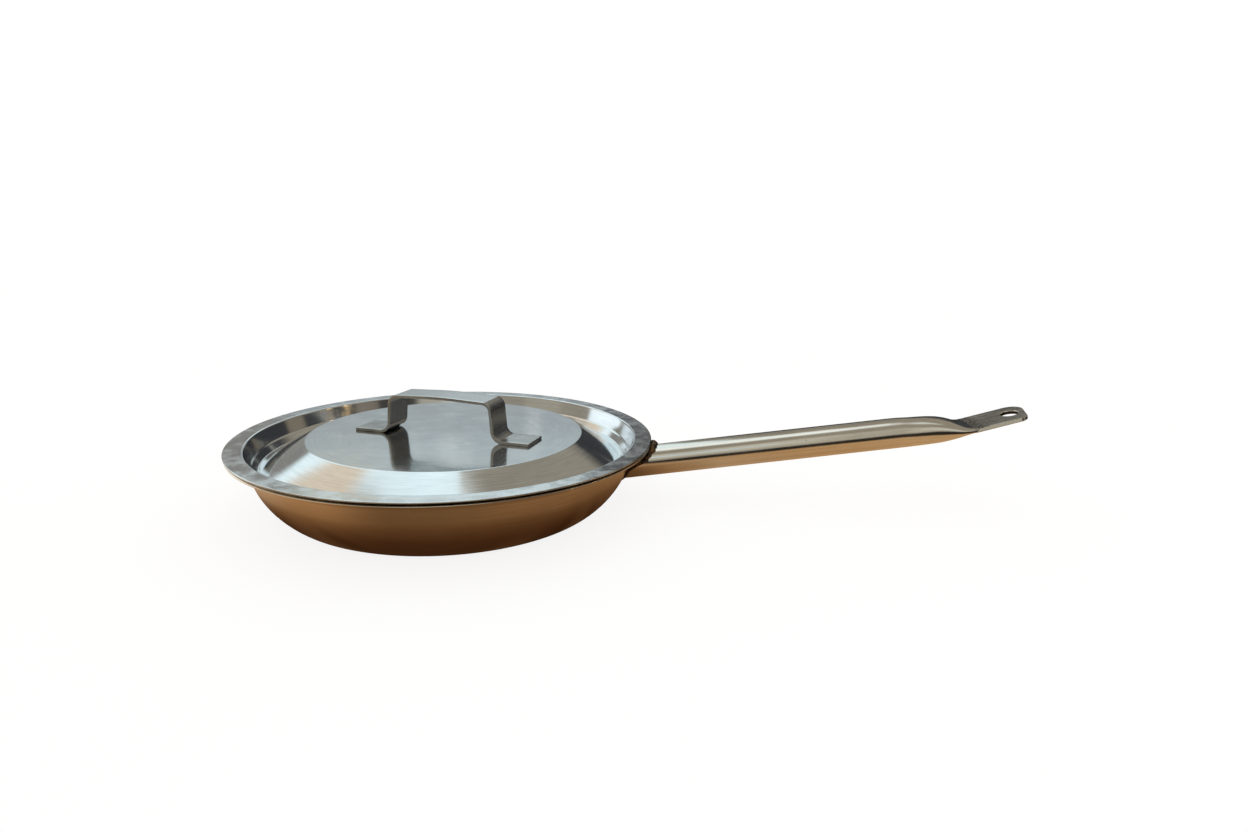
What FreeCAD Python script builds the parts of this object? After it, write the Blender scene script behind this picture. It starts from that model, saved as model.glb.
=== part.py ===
import FreeCAD, Part
import math
import os
from FreeCAD import Vector as V

# Lidded pan of 24 cm nominal size, all stainless steel: a drawn pan with a flared pouring rim,
# a round tube handle whose end is pressed flat into a hanging tongue, and a recessed pressed lid
# with a strap handle spot-welded on its raised centre disc.
# Millimetres, +Z up. The origin is the centre of the base's underside; the handle points along +X.

# ---------------------------------------------------------------- driving dimensions
# pan
PAN_SHEET = 1.0            # sheet thickness of the drawn pan
BASE_FLAT_R = 92.5         # radius of the flat underside
LIP_R = 130.2              # outer radius of the flared pouring rim
LIP_EDGE_Z = 41.6          # height of the middle of the rim's rolled edge
LIP_CROWN_Z = 43.15        # highest level of the rim, where the lid's brim sits

# lid
LID_SHEET = 0.9            # sheet thickness of the pressed lid
BRIM_Z = 44.4              # top face of the lid's flat brim
BRIM_R = 131.0             # outer radius of the brim
WELL_R = 120.0             # radius where the brim turns down into the well
STEP_R1 = 116.7            # foot of the upper wall, above the step
STEP_R2 = 115.7            # head of the lower wall, below the step
STEP_Z1 = 35.4             # upper side of the step
STEP_Z2 = 34.6             # lower side of the step
WELL_BOTTOM_R = 112.9      # bottom corner of the well
WELL_BOTTOM_Z = 31.0
DISC_R = 86.3              # raised flat disc in the middle
DISC_Z = 45.7

# lid strap handle
STRAP_T = 1.8              # strip thickness
STRAP_W = 21.3             # strip width
STRAP_L = 119.7            # overall length over both feet
STRAP_LEG_LOW = 35.7       # half spacing of the legs' middle lines at the bottom
STRAP_LEG_HIGH = 34.1      # and at the top
STRAP_RISE = 25.3          # middle line of the bridge above the disc, at its centre
STRAP_SIDE = 24.2          # the same over the legs
STRAP_FOOT_BEND = 6.6      # bend radii on the middle line
STRAP_TOP_BEND = 5.2
STRAP_ANGLE = -17.9        # turn of the strap about +Z, from +X
STRAP_CX, STRAP_CY = 1.2, -6.9   # centre of the strap: it is set a little off the lid's centre
NUGGET_R = 2.6             # spot-weld nuggets, two under each foot
NUGGET_H = 1.1
NUGGET_U = (45.5, 54.0)

# handle
TUBE_R = 10.0              # outer radius of the handle tube
TUBE_WALL = 1.2
AXIS_X0 = 110.0            # the tube axis passes through (AXIS_X0, 0, AXIS_Z0)
AXIS_Z0 = 25.2
INCLINE = 7.0              # upward slope of the tube, degrees
PRESS_X = 286.0            # the tube starts to be pressed flat here
CREASE_X = 338.0           # crease across the flattened end
CREASE_UP = 0.7            # height of the tongue's top face above the tube's axis at the crease
TONGUE_L = 38.4            # tongue beyond the crease, on its middle line
TONGUE_W = 29.2
TONGUE_T = 2.4             # two walls pressed together
TONGUE_TILT = 15.4         # slope of the tongue, degrees
TONGUE_R_FAR = 12.0        # corner radius of its end on the +Y side
TONGUE_R_NEAR = 5.0        # and on the -Y side
END_SKEW = 0.28            # the end is cut a little aslant: it runs out this much per millimetre towards +Y
HOLE_R = 5.3               # hanging hole
HOLE_S = 28.6              # hole centre, from the crease

# weld
BEAD_R = 2.3               # radius of the bead's round
BEAD_TOP_X = 134.4         # bead centre along X on top of the tube
BEAD_BOTTOM_X = 115.0      # and below it

os.makedirs("parts", exist_ok=True)
AX = V(0, 0, 1)
O = V(0, 0, 0)


# ---------------------------------------------------------------- helpers
def revolve(face):
    s = face.revolve(O, AX, 360)
    s = s if s.ShapeType == "Solid" else s.Solids[0]
    # the seam of the turned surfaces goes to the side away from the handle
    s.rotate(O, AX, 180)
    return s


def rounded(points, radii):
    # edges of an open path in the XZ plane through the points, corners rounded to the given radii
    out = []
    start = points[0]
    for i in range(1, len(points) - 1):
        a, b, c = points[i - 1], points[i], points[i + 1]
        r = radii[i]
        u = (a - b).normalize()
        w = (c - b).normalize()
        half = u.getAngle(w) / 2
        if r < 1e-6 or abs(half - math.pi / 2) < 1e-4:
            out.append(Part.LineSegment(start, b).toShape())
            start = b
            continue
        d = r / math.tan(half)
        p, q = b + u * d, b + w * d
        bis = (u + w).normalize()
        m = b + bis * (r / math.sin(half) - r)
        if (p - start).Length > 1e-4:
            out.append(Part.LineSegment(start, p).toShape())
        out.append(Part.Arc(p, m, q).toShape())
        start = q
    if (points[-1] - start).Length > 1e-4:
        out.append(Part.LineSegment(start, points[-1]).toShape())
    return out


def offset_points(points, radii, t):
    # the same path moved to the right-hand side of its direction (downwards for a path going outwards)
    def normal(a, b):
        d = (b - a).normalize()
        return V(d.z, 0, -d.x)
    pts, rad = [], []
    n = len(points)
    for i in range(n):
        if i == 0:
            pts.append(points[0] + normal(points[0], points[1]) * t)
            rad.append(0)
        elif i == n - 1:
            pts.append(points[-1] + normal(points[-2], points[-1]) * t)
            rad.append(0)
        else:
            n1 = normal(points[i - 1], points[i])
            n2 = normal(points[i], points[i + 1])
            k = t / (1 + n1.dot(n2))
            pts.append(points[i] + (n1 + n2) * k)
            d1 = (points[i] - points[i - 1]).normalize()
            d2 = (points[i + 1] - points[i]).normalize()
            left = d1.z * d2.x - d1.x * d2.z   # > 0 when the path turns clockwise seen with +X right and +Z up
            # a clockwise turn has its centre on the right-hand side, so the moved path's radius shrinks
            rad.append(max(0.0, radii[i] - t) if left > 0 else radii[i] + t)
    return pts, rad


def sheet_profile(points, radii, t, round_end=False):
    # section of a sheet of thickness t on the right-hand side of the path, or on its left-hand side for a negative t
    lower, lrad = offset_points(points, radii, t)
    edges = rounded(points, radii)
    if round_end:
        d = (points[-1] - points[-2]).normalize()
        mid = (points[-1] + lower[-1]) * 0.5 + d * (abs(t) / 2)
        edges.append(Part.Arc(points[-1], mid, lower[-1]).toShape())
    else:
        edges.append(Part.LineSegment(points[-1], lower[-1]).toShape())
    edges += rounded(lower, lrad)
    edges.append(Part.LineSegment(points[0], lower[0]).toShape())
    wire = Part.Wire(Part.__sortEdges__(edges))
    return Part.Face(wire)


def bezier_at(p, t):
    # point and direction on a cubic curve in the XZ plane
    u = 1 - t
    k = [u**3, 3 * u * u * t, 3 * u * t * t, t**3]
    q = [3 * u * u, 6 * u * t, 3 * t * t]
    pos = V(sum(k[i] * p[i][0] for i in range(4)), 0, sum(k[i] * p[i][1] for i in range(4)))
    dr = V(sum(q[i] * (p[i + 1][0] - p[i][0]) for i in range(3)), 0,
           sum(q[i] * (p[i + 1][1] - p[i][1]) for i in range(3)))
    return pos, dr.normalize()


def tangent_polygon(p, ts):
    # corners where the curve's tangents cross, with the largest radius each corner can take
    pts, rad = [], []
    for t0, t1 in zip(ts[:-1], ts[1:]):
        a, da = bezier_at(p, t0)
        b, db = bezier_at(p, t1)
        det = da.x * db.z - da.z * db.x
        k = ((b.x - a.x) * db.z - (b.z - a.z) * db.x) / det
        c = a + da * k
        d = min((c - a).Length, (c - b).Length)
        half = (math.pi - da.getAngle(db)) / 2
        pts.append(c)
        rad.append(0.98 * d * math.tan(half))
    return pts, rad


# ---------------------------------------------------------------- pan shell
# outside of the wall: flat base, round heel, steep wall, then a hollow neck that flares into the rim
curve = [(BASE_FLAT_R, 0), (BASE_FLAT_R + 4.5, 0), (117.6, 13.9), (119.4, 40.0)]
wall_pts, wall_rad = tangent_polygon(curve, [0, 0.14, 0.28, 0.42, 0.56, 0.7, 0.82])
wall_rad[-1] = 36.0        # its outgoing side runs on into the neck, so the corner takes a smaller radius
neck_pts = [V(119.25, 0, 36.0), V(121.9, 0, LIP_CROWN_Z - PAN_SHEET - 0.25),
            V(126.6, 0, LIP_CROWN_Z - PAN_SHEET + 0.05), V(LIP_R - PAN_SHEET / 2, 0, LIP_EDGE_Z - 0.5)]
neck_rad = [12.0, 3.2, 4.0, 0]
pan_pts = [V(BASE_FLAT_R, 0, 0)] + wall_pts + neck_pts
pan_rad = [0] + wall_rad + neck_rad
in_pts, in_rad = offset_points(pan_pts, pan_rad, -PAN_SHEET)


def smooth(edge_list, count):
    # one smooth curve along a chain of lines and arcs
    w = Part.Wire(Part.__sortEdges__(edge_list))
    pts = w.discretize(Number=count)
    if pts[0].x > pts[-1].x:
        pts.reverse()
    c = Part.BSplineCurve()
    c.interpolate(Points=pts)
    return c, pts


outer, outer_pts = smooth(rounded(pan_pts, pan_rad), 56)
inner, inner_pts = smooth(rounded(in_pts, in_rad), 56)
d = (pan_pts[-1] - pan_pts[-2]).normalize()
rim_mid = (outer_pts[-1] + inner_pts[-1]) * 0.5 + d * (PAN_SHEET / 2)
rim = Part.Arc(outer_pts[-1], rim_mid, inner_pts[-1]).toShape()
pan_shell = revolve(Part.Face(Part.Wire(Part.__sortEdges__([
    Part.LineSegment(V(0, 0, 0), outer_pts[0]).toShape(), outer.toShape(), rim, inner.toShape(),
    Part.LineSegment(inner_pts[0], V(0, 0, PAN_SHEET)).toShape(),
    Part.LineSegment(V(0, 0, PAN_SHEET), V(0, 0, 0)).toShape()]))))

# the pan's outside filled in, used to cope the tube and the weld to it
pan_filled = revolve(Part.Face(Part.Wire(Part.__sortEdges__([
    Part.LineSegment(V(0, 0, 0), outer_pts[0]).toShape(), outer.toShape(), rim,
    Part.LineSegment(inner_pts[-1], V(inner_pts[-1].x, 0, 60)).toShape(),
    Part.LineSegment(V(inner_pts[-1].x, 0, 60), V(0, 0, 60)).toShape(),
    Part.LineSegment(V(0, 0, 60), V(0, 0, 0)).toShape()]))))

# ---------------------------------------------------------------- handle tube
inc = math.radians(INCLINE)
a_dir = V(math.cos(inc), 0, math.sin(inc))
a_up = V(-math.sin(inc), 0, math.cos(inc))


def axis_at(x):
    return V(x, 0, AXIS_Z0 + (x - AXIS_X0) * math.tan(inc))


# x, half width, height above the axis, height below it, squareness
# (the first three lie 0.03 inside the round tube, so that the two shapes overlap cleanly)
SECTIONS = [
    (PRESS_X - 16, 9.97, 9.97, 9.97, 2.0),
    (PRESS_X - 8, 9.97, 9.97, 9.97, 2.0),
    (PRESS_X, 9.97, 9.97, 9.97, 2.0),
    (PRESS_X + 7, 10.05, 9.85, 9.97, 2.0),
    (300.0, 10.35, 9.35, 9.85, 2.05),
    (310.0, 11.1, 8.75, 9.45, 2.15),
    (318.5, 12.2, 7.6, 8.75, 2.3),
    (324.5, 13.2, 6.0, 7.5, 2.4),
    (329.0, 14.0, 4.2, 5.9, 2.6),
    (333.5, 14.4, 2.1, 3.7, 3.2),
    (CREASE_X, 14.5, 0.85, 1.9, 4.5),
]


def section(x, a, bt, bb, n, shrink=0.0, count=24):
    # closed curve across the tube at x: half width a, height bt above and bb below the axis, n sets how square it is
    c = axis_at(x)
    pts = []
    # the widest line moves from the axis towards the lower face as the tube is pressed
    zc = (bt - bb) / 2
    half = (bt + bb) / 2
    if half - shrink < 0.25:
        return None
    for i in range(count):
        th = 2 * math.pi * (i + 0.5) / count
        cy, sz = math.cos(th), math.sin(th)
        y = math.copysign(abs(cy) ** (2.0 / n), cy) * (a - shrink)
        z = zc + math.copysign(abs(sz) ** (2.0 / n), sz) * (half - shrink)
        pts.append(c + V(0, 1, 0) * y + a_up * z)
    s = Part.BSplineCurve()
    s.interpolate(Points=pts, PeriodicFlag=True)
    return Part.Wire([s.toShape()])


def between(table, x):
    # smooth values between the rows of the table, without overshoot
    xs = [row[0] for row in table]
    i = max(0, min(len(xs) - 2, sum(1 for v in xs if v <= x) - 1))
    out = [x]
    for c in range(1, 5):
        def slope(k):
            if k <= 0 or k >= len(xs) - 1:
                j = 0 if k <= 0 else len(xs) - 2
                return (table[j + 1][c] - table[j][c]) / (xs[j + 1] - xs[j])
            s1 = (table[k][c] - table[k - 1][c]) / (xs[k] - xs[k - 1])
            s2 = (table[k + 1][c] - table[k][c]) / (xs[k + 1] - xs[k])
            return 0.0 if s1 * s2 <= 0 else 2 * s1 * s2 / (s1 + s2)
        h = xs[i + 1] - xs[i]
        t = (x - xs[i]) / h
        y0, y1, m0, m1 = table[i][c], table[i + 1][c], slope(i), slope(i + 1)
        out.append((2 * t ** 3 - 3 * t ** 2 + 1) * y0 + (t ** 3 - 2 * t ** 2 + t) * h * m0
                   + (-2 * t ** 3 + 3 * t ** 2) * y1 + (t ** 3 - t ** 2) * h * m1)
    return tuple(out)


STATIONS = [PRESS_X - 16, PRESS_X - 1, 290.0, 295.0, 300.0, 305.0, 310.0, 314.5, 318.5, 322.0, 325.0, 327.5, 330.0,
            332.5, 335.0, CREASE_X]


def loft(specs, shrink):
    wires = [section(*between(specs, x), shrink=shrink) for x in STATIONS]
    wires = [w for w in wires if w is not None]
    return Part.makeLoft(wires, True, True)


x_start = 100.0
s_len = (PRESS_X - 4 - x_start) / math.cos(inc)
tube_out = Part.makeCylinder(TUBE_R, s_len, axis_at(x_start), a_dir)
tube_in = Part.makeCylinder(TUBE_R - TUBE_WALL, s_len, axis_at(x_start), a_dir)

press_out = loft(SECTIONS, 0.0)
press_in = loft(SECTIONS, TUBE_WALL)

# tongue: flat plate with a rounded end, tilted up about the crease
tilt = math.radians(TONGUE_TILT)
crease = axis_at(CREASE_X) + a_up * CREASE_UP
t_dir = V(math.cos(tilt), 0, math.sin(tilt))
t_up = V(-math.sin(tilt), 0, math.cos(tilt))
hw = TONGUE_W / 2


def tongue_point(s, y, h=0.0):
    return crease + t_dir * s + V(0, y, 0) + t_up * h


def end_point(s, y):
    # a point of the slanting end
    return tongue_point(s + END_SKEW * y, y)


s0 = -1.0


def corner(radius, side):
    # rounded corner of the end, from the long edge to the end line
    pts = []
    for i in range(9):
        th = math.radians(90 * i / 8)
        pts.append(end_point(TONGUE_L - radius + radius * math.sin(th), side * (hw - radius + radius * math.cos(th))))
    c = Part.BSplineCurve()
    c.interpolate(Points=pts)
    return c.toShape()


tp = [
    Part.LineSegment(tongue_point(s0, -hw), end_point(TONGUE_L - TONGUE_R_NEAR, -hw)).toShape(),
    corner(TONGUE_R_NEAR, -1),
    Part.LineSegment(end_point(TONGUE_L, -hw + TONGUE_R_NEAR), end_point(TONGUE_L, hw - TONGUE_R_FAR)).toShape(),
    corner(TONGUE_R_FAR, 1),
    Part.LineSegment(end_point(TONGUE_L - TONGUE_R_FAR, hw), tongue_point(s0, hw)).toShape(),
    Part.LineSegment(tongue_point(s0, hw), tongue_point(s0, -hw)).toShape(),
]
tongue = Part.Face(Part.Wire(Part.__sortEdges__(tp))).extrude(t_up * -TONGUE_T)
soft = [e for e in tongue.Edges if e.Length > 6 and max(v.Point.x for v in e.Vertexes) > CREASE_X + 5]
try:
    t2 = tongue.makeFillet(0.6, soft)
    if t2.isValid() and abs(t2.Volume - tongue.Volume) < 0.1 * tongue.Volume:
        tongue = t2
except Exception:
    print("tongue edges left sharp")
hole = Part.makeCylinder(HOLE_R, 20, tongue_point(HOLE_S, 0, 8), t_up * -1)

handle_solid = tube_out.fuse(press_out).fuse(tongue)
hollow = tube_in.fuse(press_in)
handle_tube = handle_solid.cut(hollow).cut(pan_filled).cut(hole).removeSplitter()
print("pan filled", pan_filled.isValid(), round(pan_filled.Volume), "pan", pan_shell.isValid(), round(pan_shell.Volume))
print("parts of handle", tube_out.isValid(), press_out.isValid(), tongue.isValid(), press_in.isValid(), handle_solid.isValid(), hollow.isValid())
print("handle solids", len(handle_tube.Solids), [round(s.Volume) for s in handle_tube.Solids])
handle_tube = max(handle_tube.Solids, key=lambda s: s.Volume)

# ---------------------------------------------------------------- weld bead around the tube's root
# the seam is the ellipse where a slanting plane crosses the tube: further out on top, tight under the rim below
ptop = axis_at(BEAD_TOP_X) + a_up * TUBE_R
pbot = axis_at(BEAD_BOTTOM_X) - a_up * TUBE_R
centre = (ptop + pbot) * 0.5
major = (ptop - pbot) * 0.5
e_n = major.cross(V(0, 1, 0)).normalize()
ellipse = Part.Ellipse(ptop, centre + V(0, TUBE_R, 0), centre)
path = Part.Wire([ellipse.toShape()])
start = ellipse.value(0)
tan = ellipse.tangent(0)[0]
ring = Part.Wire([Part.Circle(start, tan, BEAD_R).toShape()])
bead = path.makePipeShell([ring], True, False)
# filler behind the bead, back to the wall
slab = Part.makeCylinder(TUBE_R + 1.9, 60, axis_at(90.0), a_dir)
if e_n.x < 0:
    e_n = e_n * -1
cutter = Part.makeBox(200, 200, 200, V(0, -100, 0))
cutter = cutter.transformed(FreeCAD.Placement(V(0, 0, 0), FreeCAD.Rotation(V(1, 0, 0), e_n)).toMatrix())
# put the cutting face on the seam plane
corner = FreeCAD.Rotation(V(1, 0, 0), e_n).multVec(V(0, 0, 100))
cutter.translate(centre - corner)
slab = slab.cut(cutter)
weld = bead.fuse(slab).cut(Part.makeCylinder(TUBE_R, 120, axis_at(80.0), a_dir)).cut(pan_filled)
print("weld solids", len(weld.Solids), [round(s.Volume) for s in weld.Solids])
handle_weld = max(weld.Solids, key=lambda s: s.Volume)

# ---------------------------------------------------------------- lid shell
lid_pts = [V(0, 0, DISC_Z), V(DISC_R, 0, DISC_Z), V(WELL_BOTTOM_R, 0, WELL_BOTTOM_Z),
           V(STEP_R2, 0, STEP_Z2), V(STEP_R1, 0, STEP_Z1), V(WELL_R, 0, BRIM_Z), V(BRIM_R - 0.45, 0, BRIM_Z)]
lid_rad = [0, 1.6, 0.6, 0.9, 0.9, 1.3, 0]
lid_shell = revolve(sheet_profile(lid_pts, lid_rad, LID_SHEET, round_end=True))

# ---------------------------------------------------------------- lid strap handle, in its own frame: u along the strip, z above the disc
h = STRAP_T / 2
sp = [V(-STRAP_L / 2, 0, h), V(-STRAP_LEG_LOW - 0.4, 0, h), V(-STRAP_LEG_HIGH, 0, STRAP_SIDE),
      V(0, 0, STRAP_RISE + 0.25), V(STRAP_LEG_HIGH, 0, STRAP_SIDE), V(STRAP_LEG_LOW + 0.4, 0, h), V(STRAP_L / 2, 0, h)]
sr = [0, STRAP_FOOT_BEND, STRAP_TOP_BEND, 250.0, STRAP_TOP_BEND, STRAP_FOOT_BEND, 0]
# upper face of the strip: the middle line moved up by half the thickness, then a full sheet down
up_pts, up_rad = offset_points(sp, sr, -h)
fixed = []
for i in range(len(sp)):
    if i in (0, len(sp) - 1):
        fixed.append(0)
        continue
    d1 = (sp[i] - sp[i - 1]).normalize()
    d2 = (sp[i + 1] - sp[i]).normalize()
    left = d1.z * d2.x - d1.x * d2.z
    fixed.append(sr[i] + h if left > 0 else sr[i] - h)
strap_face = sheet_profile(up_pts, fixed, STRAP_T)
strap = strap_face.extrude(V(0, STRAP_W, 0))
strap.translate(V(0, -STRAP_W / 2, 0))
try:
    long_edges = [e for e in strap.Edges if abs(e.Vertexes[0].Point.y - e.Vertexes[-1].Point.y) < 1e-6]
    s2 = strap.makeFillet(0.25, long_edges)
    if s2.isValid() and abs(s2.Volume - strap.Volume) < 0.05 * strap.Volume:
        strap = s2
    else:
        print("strap edges left sharp")
except Exception as e:
    print("strap edges left sharp", e)

# spot-weld nuggets between each foot and the disc, half in each
nuggets = []
for sgn in (-1, 1):
    for u in NUGGET_U:
        nuggets.append(Part.makeCylinder(NUGGET_R, NUGGET_H, V(sgn * u, 0, -NUGGET_H / 2), AX))
nuggets = Part.makeCompound(nuggets)

place = FreeCAD.Placement(V(STRAP_CX, STRAP_CY, DISC_Z), FreeCAD.Rotation(AX, STRAP_ANGLE))
strap = strap.transformed(place.toMatrix())
nuggets = nuggets.transformed(place.toMatrix())
lid_handle = strap.cut(nuggets)
lid_shell = lid_shell.cut(nuggets)
lid_handle = max(lid_handle.Solids, key=lambda s: s.Volume)
lid_shell = max(lid_shell.Solids, key=lambda s: s.Volume)

# ---------------------------------------------------------------- write
NODES = {
    "pan_shell": pan_shell,
    "handle_tube": handle_tube,
    "handle_weld": handle_weld,
    "lid_shell": lid_shell,
    "lid_handle": lid_handle,
    "lid_spot_welds": nuggets,
}
for name, shape in NODES.items():
    shape.exportStep("parts/" + name + ".step")
    b = shape.BoundBox
    print("%-16s valid %s solids %d volume %.0f  x %.1f..%.1f y %.1f..%.1f z %.1f..%.1f" % (
        name, shape.isValid(), len(shape.Solids), shape.Volume, b.XMin, b.XMax, b.YMin, b.YMax, b.ZMin, b.ZMax))
print("hole centre", tongue_point(HOLE_S, 0, -TONGUE_T / 2), "normal", t_up)
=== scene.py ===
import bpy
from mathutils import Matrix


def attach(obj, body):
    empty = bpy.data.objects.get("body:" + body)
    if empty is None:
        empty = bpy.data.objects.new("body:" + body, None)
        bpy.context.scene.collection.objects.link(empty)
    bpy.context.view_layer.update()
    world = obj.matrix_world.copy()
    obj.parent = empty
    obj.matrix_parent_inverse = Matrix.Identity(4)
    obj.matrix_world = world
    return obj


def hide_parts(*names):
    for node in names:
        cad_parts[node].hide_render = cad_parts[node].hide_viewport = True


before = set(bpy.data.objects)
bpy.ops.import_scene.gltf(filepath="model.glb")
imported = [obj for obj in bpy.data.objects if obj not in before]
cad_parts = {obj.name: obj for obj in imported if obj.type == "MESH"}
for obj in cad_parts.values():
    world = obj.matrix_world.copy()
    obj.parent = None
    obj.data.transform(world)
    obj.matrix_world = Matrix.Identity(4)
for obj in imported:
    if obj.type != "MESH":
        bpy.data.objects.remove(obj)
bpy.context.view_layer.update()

import bpy
import bmesh
import math
from mathutils import Matrix, Vector, noise

# Lidded pan of 24 cm nominal size, all stainless steel. Metres, +Z up; the origin is the centre of the
# underside and the handle points along +X. Lengths in the tables below are in millimetres.
MM = 0.001


# ------------------------------------------------------------------ plane paths
def rounded(points, radii, step=6.0, span=3.0):
    """Points along a path with its corners rounded. Straight runs are cut into spans, arcs into steps of so many degrees."""
    pts = [Vector(p) for p in points]
    runs = [[pts[0]]]
    for i in range(1, len(pts) - 1):
        p, a, b = pts[i], (pts[i - 1] - pts[i]).normalized(), (pts[i + 1] - pts[i]).normalized()
        ang = math.acos(max(-1.0, min(1.0, a.dot(b))))
        if radii[i] <= 0 or ang > math.pi - 1e-4:
            runs.append([p])
            continue
        d = radii[i] / math.tan(ang / 2)
        t1, t2 = p + a * d, p + b * d
        c = p + (a + b).normalized() * (radii[i] / math.sin(ang / 2))
        turn = math.pi - ang
        n = max(3, math.ceil(math.degrees(turn) / step))
        v1, v2 = t1 - c, t2 - c
        arc = []
        for k in range(n + 1):
            u = k / n
            w = (v1 * math.sin((1 - u) * turn) + v2 * math.sin(u * turn)) / math.sin(turn)
            arc.append(c + w)
        runs.append(arc)
    runs.append([pts[-1]])
    out = []
    for i, run in enumerate(runs):
        if out:
            a, b = out[-1], run[0]
            length = (b - a).length
            if length > 1e-4:
                # a short step beside each arc keeps the flat parts flat in the shading
                edge = min(0.25, length / 4)
                n = max(1, math.ceil((length - 2 * edge) / span))
                for k in range(n + 1):
                    out.append(a + (b - a) * ((edge + (length - 2 * edge) * k / n) / length))
        out.extend(q for q in run if not out or (q - out[-1]).length > 1e-5)
    return out


def beside(points, radii, t):
    """The same path moved by t to the left of its direction, with the radii that go with it."""
    pts = [Vector(p) for p in points]
    dirs = [(pts[i + 1] - pts[i]).normalized() for i in range(len(pts) - 1)]
    left = [Vector((-d.y, d.x)) for d in dirs]
    out = [pts[0] + left[0] * t]
    rad = [0.0]
    for i in range(1, len(pts) - 1):
        n1, n2 = left[i - 1], left[i]
        out.append(pts[i] + (n1 + n2) * (t / (1 + n1.dot(n2))))
        turn = dirs[i - 1].x * dirs[i].y - dirs[i - 1].y * dirs[i].x
        r = radii[i] - t if turn > 0 else radii[i] + t
        rad.append(max(r, 0.12) if abs(turn) > 1e-4 else 0.0)
    out.append(pts[-1] + left[-1] * t)
    rad.append(0.0)
    return out, rad


def sheet_loop(points, radii, t, step=6.0, span=3.0):
    """Closed outline of a sheet: along the path, round its end, and back beside it."""
    a = rounded(points, radii, step, span)
    p2, r2 = beside(points, radii, t)
    b = rounded(p2, r2, step, span)
    d = (a[-1] - a[-2]).normalized()
    c = (a[-1] + b[-1]) * 0.5
    v = a[-1] - c
    end = [c + v * math.cos(math.pi * k / 10) + d * (abs(t) / 2) * math.sin(math.pi * k / 10) for k in range(1, 10)]
    return a, end, list(reversed(b))


# ------------------------------------------------------------------ meshes
def make_object(name, bm, smooth=True, sharp=None):
    bmesh.ops.recalc_face_normals(bm, faces=bm.faces)
    me = bpy.data.meshes.new(name)
    bm.to_mesh(me)
    bm.free()
    for p in me.polygons:
        p.use_smooth = smooth
    if sharp is not None:
        me.set_sharp_from_angle(angle=math.radians(sharp))
    ob = bpy.data.objects.new(name, me)
    bpy.context.scene.collection.objects.link(ob)
    return ob


def lathe(name, loop, segs, bend=None, sharp=35):
    """Turns a path from the axis to the axis about Z. bend(x, y, z) may move a point a very little."""
    bm = bmesh.new()
    rings = []
    for p in loop:
        r, z = p.x * MM, p.y * MM
        if r < 1e-7:
            rings.append([bm.verts.new(Vector((0, 0, z)))])
            continue
        ring = []
        for k in range(segs):
            a = 2 * math.pi * k / segs
            q = Vector((r * math.cos(a), r * math.sin(a), z))
            if bend:
                q = bend(q)
            ring.append(bm.verts.new(q))
        rings.append(ring)
    for a, b in zip(rings, rings[1:]):
        if len(a) == 1 and len(b) == 1:
            continue
        for k in range(segs):
            k2 = (k + 1) % segs
            if len(a) == 1:
                bm.faces.new((a[0], b[k], b[k2]))
            elif len(b) == 1:
                bm.faces.new((a[k], a[k2], b[0]))
            else:
                bm.faces.new((a[k], a[k2], b[k2], b[k]))
    return make_object(name, bm, sharp=sharp)


def skin(name, loops, closed=False, caps=True, sharp=35):
    """A skin over closed loops of equally many points. closed joins the last loop to the first."""
    bm = bmesh.new()
    rows = [[bm.verts.new(p) for p in loop] for loop in loops]
    n = len(rows[0])
    pairs = list(zip(rows, rows[1:])) + ([(rows[-1], rows[0])] if closed else [])
    for a, b in pairs:
        for k in range(n):
            k2 = (k + 1) % n
            bm.faces.new((a[k], a[k2], b[k2], b[k]))
    if caps and not closed:
        bm.faces.new(rows[0])
        bm.faces.new(list(reversed(rows[-1])))
    return make_object(name, bm, sharp=sharp)


def wobble(q, size, amount, seed):
    return noise.noise(Vector((q.x / size + seed, q.y / size - seed, q.z / size + 0.5 * seed))) * amount


# ------------------------------------------------------------------ dimensions shared with the solids, in mm
PAN_PATH = [(0, 0), (92.5, 0), (93.49, 0), (97.12, 1.68), (101.74, 4.96), (106.77, 9.79), (111.66, 16.13),
            (115.52, 23.36), (119.25, 36.0), (121.9, 41.9), (126.6, 42.2), (129.7, 41.1)]
PAN_RADII = [0, 0, 4.39, 22.07, 39.79, 48.24, 49.49, 36.0, 12.0, 3.2, 4.0, 0]
PAN_SHEET = 1.0
LID_PATH = [(0, 45.7), (86.3, 45.7), (112.9, 31.0), (115.7, 34.6), (116.7, 35.4), (120.0, 44.4), (130.55, 44.4)]
LID_RADII = [0, 1.6, 0.6, 0.9, 0.9, 1.3, 0]
LID_SHEET = 0.9
STRAP_T, STRAP_W = 1.8, 21.3
STRAP_PATH = [(-59.85, 0.9), (-36.1, 0.9), (-34.1, 24.2), (0, 25.55), (34.1, 24.2), (36.1, 0.9), (59.85, 0.9)]
STRAP_RADII = [0, 6.6, 5.2, 250.0, 5.2, 6.6, 0]
STRAP_TURN, STRAP_AT = -17.9, (1.2, -6.9, 45.7)
TUBE_R = 10.0
AXIS_X0, AXIS_Z0, INCLINE = 110.0, 25.2, math.radians(7.0)
CREASE_X, CREASE_UP = 338.0, 0.7
TONGUE_L, TONGUE_W, TONGUE_T, TONGUE_TILT = 38.4, 29.2, 2.4, math.radians(15.4)
R_FAR, R_NEAR, END_SKEW = 12.0, 5.0, 0.28
HOLE_R, HOLE_S = 5.3, 28.6
BEAD_R, BEAD_TOP_X, BEAD_BOTTOM_X = 2.3, 134.4, 115.0

SEGS = 360

# ------------------------------------------------------------------ pan
outer, rim, inner = sheet_loop(PAN_PATH, PAN_RADII, PAN_SHEET, step=4.0, span=2.5)


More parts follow.
